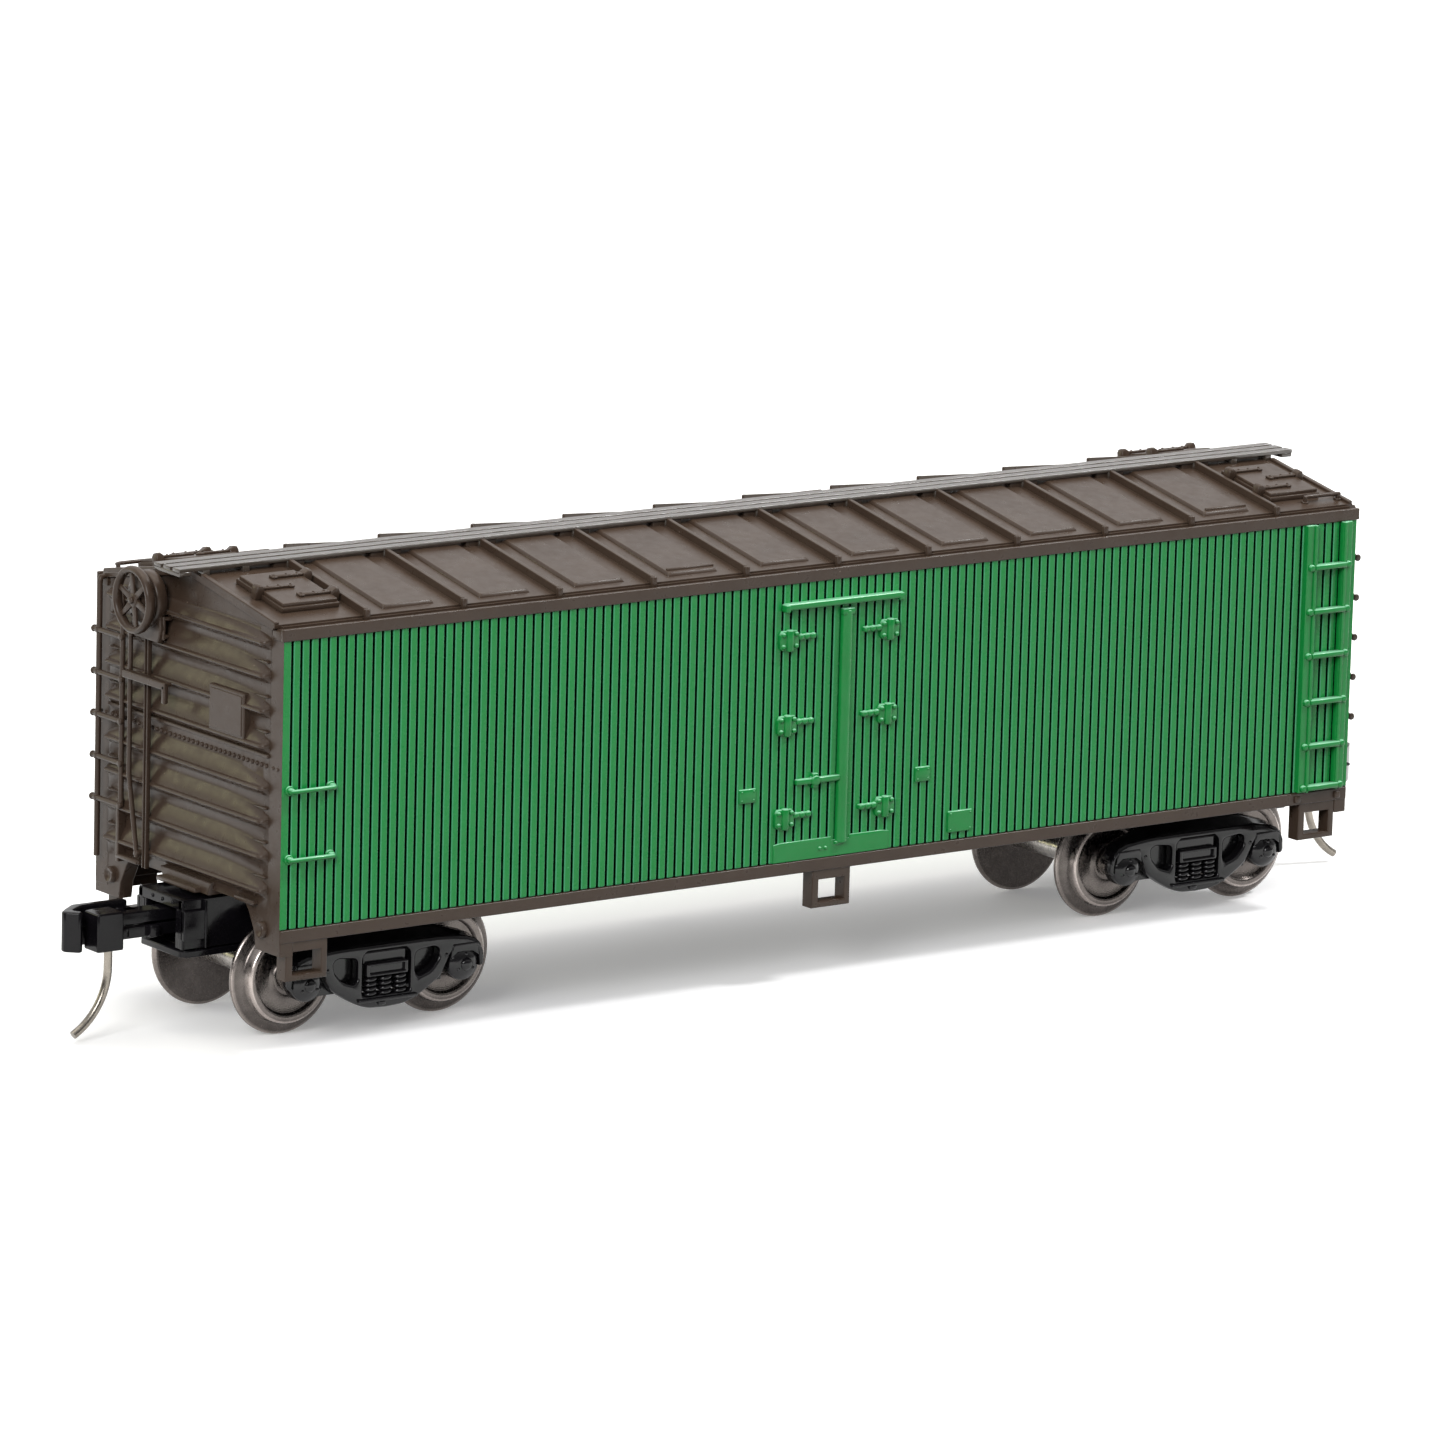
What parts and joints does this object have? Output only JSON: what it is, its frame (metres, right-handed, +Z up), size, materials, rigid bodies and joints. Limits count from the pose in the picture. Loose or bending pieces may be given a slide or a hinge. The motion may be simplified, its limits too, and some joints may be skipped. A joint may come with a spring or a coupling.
{
  "type": "model refrigerator box car",
  "caption": "Small-scale model of an ice refrigerator box car: wood-sheathed sides, ribbed steel ends, roof hatches, swivelling trucks, needle-point axles and sprung knuckle couplers.",
  "frame": {"origin": "on the rail plane: at the bottom of the wheel flanges, midway between the car's ends and sides", "axes": "+X along the car from the brake wheel end (B end) to the other end (A end), +Z up, -Y towards the side that faces the viewer"},
  "size_m": [0.0914, 0.0198, 0.0261],
  "materials": {
    "brown_body": "satin dark brown moulded plastic",
    "green_sheathing": "satin green painted plastic",
    "black_plastic": "satin black moulded plastic",
    "wheel_metal": "blackened turned metal with bright worn treads",
    "axle_steel": "turned steel",
    "weight_steel": "plain sheet steel",
    "pin_steel": "drawn steel wire and screws"
  },
  "bodies": {
    "car": {"body_shell": "brown_body", "side_panel_near": "green_sheathing", "side_panel_far": "green_sheathing", "roof": "brown_body", "running_board": "brown_body", "ice_hatch_b_near": "brown_body", "ice_hatch_b_far": "brown_body", "ice_hatch_a_near": "brown_body", "ice_hatch_a_far": "brown_body", "end_ladder_b": "brown_body", "end_ladder_a": "brown_body", "brake_wheel": "brown_body", "brake_housing": "brown_body", "brake_step": "brown_body", "brake_rod": "brown_body", "underframe": "black_plastic", "weight": "weight_steel", "truck_screw_b": "pin_steel", "coupler_box_b": "black_plastic", "coupler_lid_b": "black_plastic", "coupler_screw_b": "pin_steel", "coupler_spring_b": "pin_steel", "truck_screw_a": "pin_steel", "coupler_box_a": "black_plastic", "coupler_lid_a": "black_plastic", "coupler_screw_a": "pin_steel", "coupler_spring_a": "pin_steel"},
    "truck_b": {"truck_frame_b": "black_plastic"},
    "truck_a": {"truck_frame_a": "black_plastic"},
    "wheelset_b_outer": {"axle_b_outer": "axle_steel", "wheel_b_outer_near": "wheel_metal", "wheel_b_outer_far": "wheel_metal"},
    "wheelset_b_inner": {"axle_b_inner": "axle_steel", "wheel_b_inner_near": "wheel_metal", "wheel_b_inner_far": "wheel_metal"},
    "wheelset_a_outer": {"axle_a_outer": "axle_steel", "wheel_a_outer_near": "wheel_metal", "wheel_a_outer_far": "wheel_metal"},
    "wheelset_a_inner": {"axle_a_inner": "axle_steel", "wheel_a_inner_near": "wheel_metal", "wheel_a_inner_far": "wheel_metal"},
    "coupler_b": {"coupler_knuckle_half_b": "black_plastic"},
    "coupler_b_lower": {"coupler_guard_half_b": "black_plastic", "trip_pin_b": "pin_steel"},
    "coupler_a": {"coupler_knuckle_half_a": "black_plastic"},
    "coupler_a_lower": {"coupler_guard_half_a": "black_plastic", "trip_pin_a": "pin_steel"}
  },
  "joints": [
    {"name": "truck_b_swivel", "type": "hinge", "parent": "car", "child": "truck_b", "pos_m": [-0.02877, 0, 0.00535], "axis": [0, 0, 1], "range_deg": [-8, 8]},
    {"name": "wheelset_b_outer_spin", "type": "hinge", "parent": "truck_b", "child": "wheelset_b_outer", "pos_m": [-0.03397, 0, 0.00338], "axis": [0, 1, 0], "continuous": true},
    {"name": "wheelset_b_inner_spin", "type": "hinge", "parent": "truck_b", "child": "wheelset_b_inner", "pos_m": [-0.02357, 0, 0.00338], "axis": [0, 1, 0], "continuous": true},
    {"name": "truck_a_swivel", "type": "hinge", "parent": "car", "child": "truck_a", "pos_m": [0.02877, 0, 0.00535], "axis": [0, 0, 1], "range_deg": [-8, 8]},
    {"name": "wheelset_a_outer_spin", "type": "hinge", "parent": "truck_a", "child": "wheelset_a_outer", "pos_m": [0.03397, 0, 0.00338], "axis": [0, 1, 0], "continuous": true},
    {"name": "wheelset_a_inner_spin", "type": "hinge", "parent": "truck_a", "child": "wheelset_a_inner", "pos_m": [0.02357, 0, 0.00338], "axis": [0, 1, 0], "continuous": true},
    {"name": "coupler_b_swing", "type": "hinge", "parent": "car", "child": "coupler_b", "pos_m": [-0.0366, 0, 0.0067], "axis": [0, 0, 1], "range_deg": [-10, 10], "stiffness_Nm_per_rad": 0.0005},
    {"name": "coupler_b_open", "type": "hinge", "parent": "coupler_b", "child": "coupler_b_lower", "pos_m": [-0.0366, 0, 0.0059], "axis": [0, 0, 1], "range_deg": [0, 7], "stiffness_Nm_per_rad": 0.0005},
    {"name": "coupler_a_swing", "type": "hinge", "parent": "car", "child": "coupler_a", "pos_m": [0.0366, 0, 0.0067], "axis": [0, 0, 1], "range_deg": [-10, 10], "stiffness_Nm_per_rad": 0.0005},
    {"name": "coupler_a_open", "type": "hinge", "parent": "coupler_a", "child": "coupler_a_lower", "pos_m": [0.0366, 0, 0.0059], "axis": [0, 0, 1], "range_deg": [0, 7], "stiffness_Nm_per_rad": 0.0005}
  ]
}
